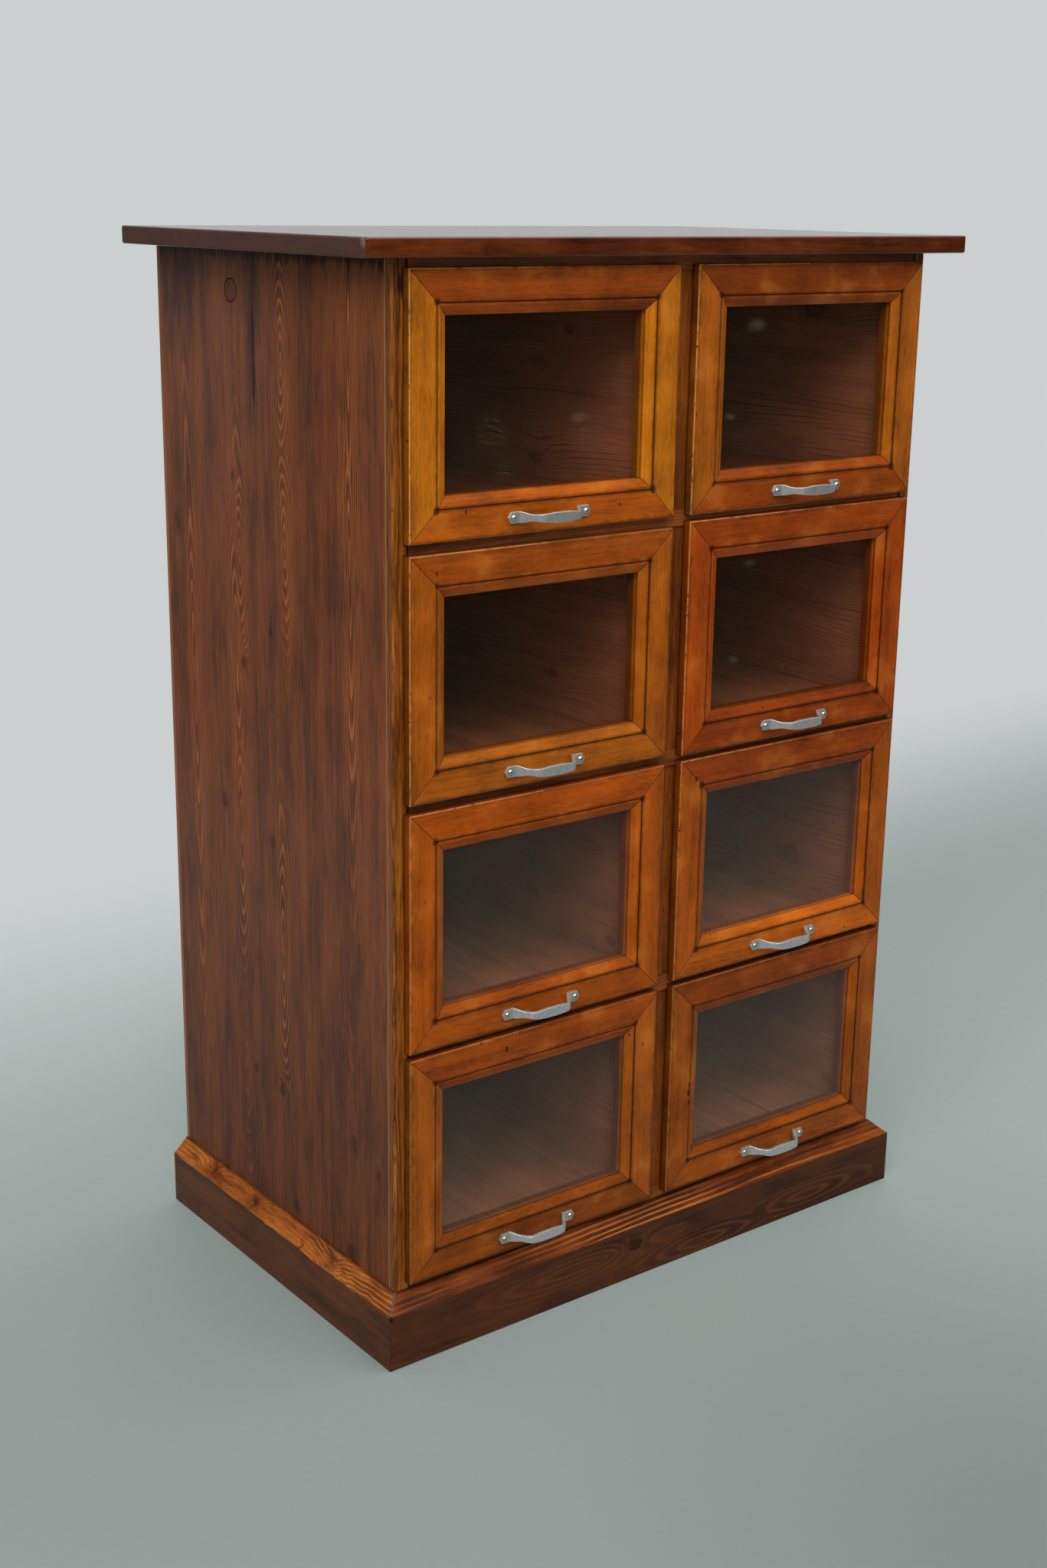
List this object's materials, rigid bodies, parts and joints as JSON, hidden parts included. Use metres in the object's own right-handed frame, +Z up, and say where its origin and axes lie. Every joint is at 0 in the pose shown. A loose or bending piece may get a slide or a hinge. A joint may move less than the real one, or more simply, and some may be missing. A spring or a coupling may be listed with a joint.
{
  "type": "haberdashery cabinet",
  "caption": "Floor-standing haberdashery cabinet of stained pine and oak: columns of glazed drawers with bow handles, under an overhanging top and on a bevelled plinth.",
  "frame": {"origin": "on the floor, at the middle of the whole cabinet's width and depth, handles included", "axes": "+Z up, -Y out of the drawer fronts, +X to the right seen from the front"},
  "size_m": [0.698, 0.4276, 1.01],
  "materials": {
    "top_wood": "dark red-brown stain, polished",
    "side_wood": "red-brown stained pine, waxed",
    "plug_wood": "stained end grain",
    "stile_oak": "golden brown oak, worn varnish",
    "rail_oak": "golden brown oak, worn varnish",
    "muntin_oak": "brown oak with dark open grain",
    "inside_pine": "bare aged pine",
    "plinth_wood": "dark brown stained pine, worn bevel",
    "drawer_front_wood": "amber varnished pine",
    "bead_wood": "amber varnished moulding",
    "drawer_glass": "clear, slightly hazy",
    "drawer_box_wood": "bare aged pine",
    "handle_alloy": "satin, worn",
    "screw_steel": "dull, slotted round head"
  },
  "bodies": {
    "carcass": {"top_board": "top_wood", "left_side_panel": "side_wood", "right_side_panel": "side_wood", "side_plug": "plug_wood", "front_stiles": "stile_oak", "front_rails": "rail_oak", "centre_muntins": "muntin_oak", "centre_partition": "inside_pine", "floor_board": "inside_pine", "back_panel": "inside_pine", "drawer_runners": "inside_pine", "plinth_boards": "plinth_wood"},
    "left_drawer_1": {"left_drawer_1_front_frame": "drawer_front_wood", "left_drawer_1_glazing_bead": "bead_wood", "left_drawer_1_glass": "drawer_glass", "left_drawer_1_box": "drawer_box_wood", "left_drawer_1_handle": "handle_alloy", "left_drawer_1_screws": "screw_steel"},
    "left_drawer_2": {"left_drawer_2_front_frame": "drawer_front_wood", "left_drawer_2_glazing_bead": "bead_wood", "left_drawer_2_glass": "drawer_glass", "left_drawer_2_box": "drawer_box_wood", "left_drawer_2_handle": "handle_alloy", "left_drawer_2_screws": "screw_steel"},
    "left_drawer_3": {"left_drawer_3_front_frame": "drawer_front_wood", "left_drawer_3_glazing_bead": "bead_wood", "left_drawer_3_glass": "drawer_glass", "left_drawer_3_box": "drawer_box_wood", "left_drawer_3_handle": "handle_alloy", "left_drawer_3_screws": "screw_steel"},
    "left_drawer_4": {"left_drawer_4_front_frame": "drawer_front_wood", "left_drawer_4_glazing_bead": "bead_wood", "left_drawer_4_glass": "drawer_glass", "left_drawer_4_box": "drawer_box_wood", "left_drawer_4_handle": "handle_alloy", "left_drawer_4_screws": "screw_steel"},
    "right_drawer_1": {"right_drawer_1_front_frame": "drawer_front_wood", "right_drawer_1_glazing_bead": "bead_wood", "right_drawer_1_glass": "drawer_glass", "right_drawer_1_box": "drawer_box_wood", "right_drawer_1_handle": "handle_alloy", "right_drawer_1_screws": "screw_steel"},
    "right_drawer_2": {"right_drawer_2_front_frame": "drawer_front_wood", "right_drawer_2_glazing_bead": "bead_wood", "right_drawer_2_glass": "drawer_glass", "right_drawer_2_box": "drawer_box_wood", "right_drawer_2_handle": "handle_alloy", "right_drawer_2_screws": "screw_steel"},
    "right_drawer_3": {"right_drawer_3_front_frame": "drawer_front_wood", "right_drawer_3_glazing_bead": "bead_wood", "right_drawer_3_glass": "drawer_glass", "right_drawer_3_box": "drawer_box_wood", "right_drawer_3_handle": "handle_alloy", "right_drawer_3_screws": "screw_steel"},
    "right_drawer_4": {"right_drawer_4_front_frame": "drawer_front_wood", "right_drawer_4_glazing_bead": "bead_wood", "right_drawer_4_glass": "drawer_glass", "right_drawer_4_box": "drawer_box_wood", "right_drawer_4_handle": "handle_alloy", "right_drawer_4_screws": "screw_steel"}
  },
  "joints": [
    {"name": "left_drawer_1_slide", "type": "slide", "parent": "carcass", "child": "left_drawer_1", "axis": [0, -1, 0], "range_m": [0, 0.28]},
    {"name": "left_drawer_2_slide", "type": "slide", "parent": "carcass", "child": "left_drawer_2", "axis": [0, -1, 0], "range_m": [0, 0.28]},
    {"name": "left_drawer_3_slide", "type": "slide", "parent": "carcass", "child": "left_drawer_3", "axis": [0, -1, 0], "range_m": [0, 0.28]},
    {"name": "left_drawer_4_slide", "type": "slide", "parent": "carcass", "child": "left_drawer_4", "axis": [0, -1, 0], "range_m": [0, 0.28]},
    {"name": "right_drawer_1_slide", "type": "slide", "parent": "carcass", "child": "right_drawer_1", "axis": [0, -1, 0], "range_m": [0, 0.28]},
    {"name": "right_drawer_2_slide", "type": "slide", "parent": "carcass", "child": "right_drawer_2", "axis": [0, -1, 0], "range_m": [0, 0.28]},
    {"name": "right_drawer_3_slide", "type": "slide", "parent": "carcass", "child": "right_drawer_3", "axis": [0, -1, 0], "range_m": [0, 0.28]},
    {"name": "right_drawer_4_slide", "type": "slide", "parent": "carcass", "child": "right_drawer_4", "axis": [0, -1, 0], "range_m": [0, 0.28]}
  ]
}
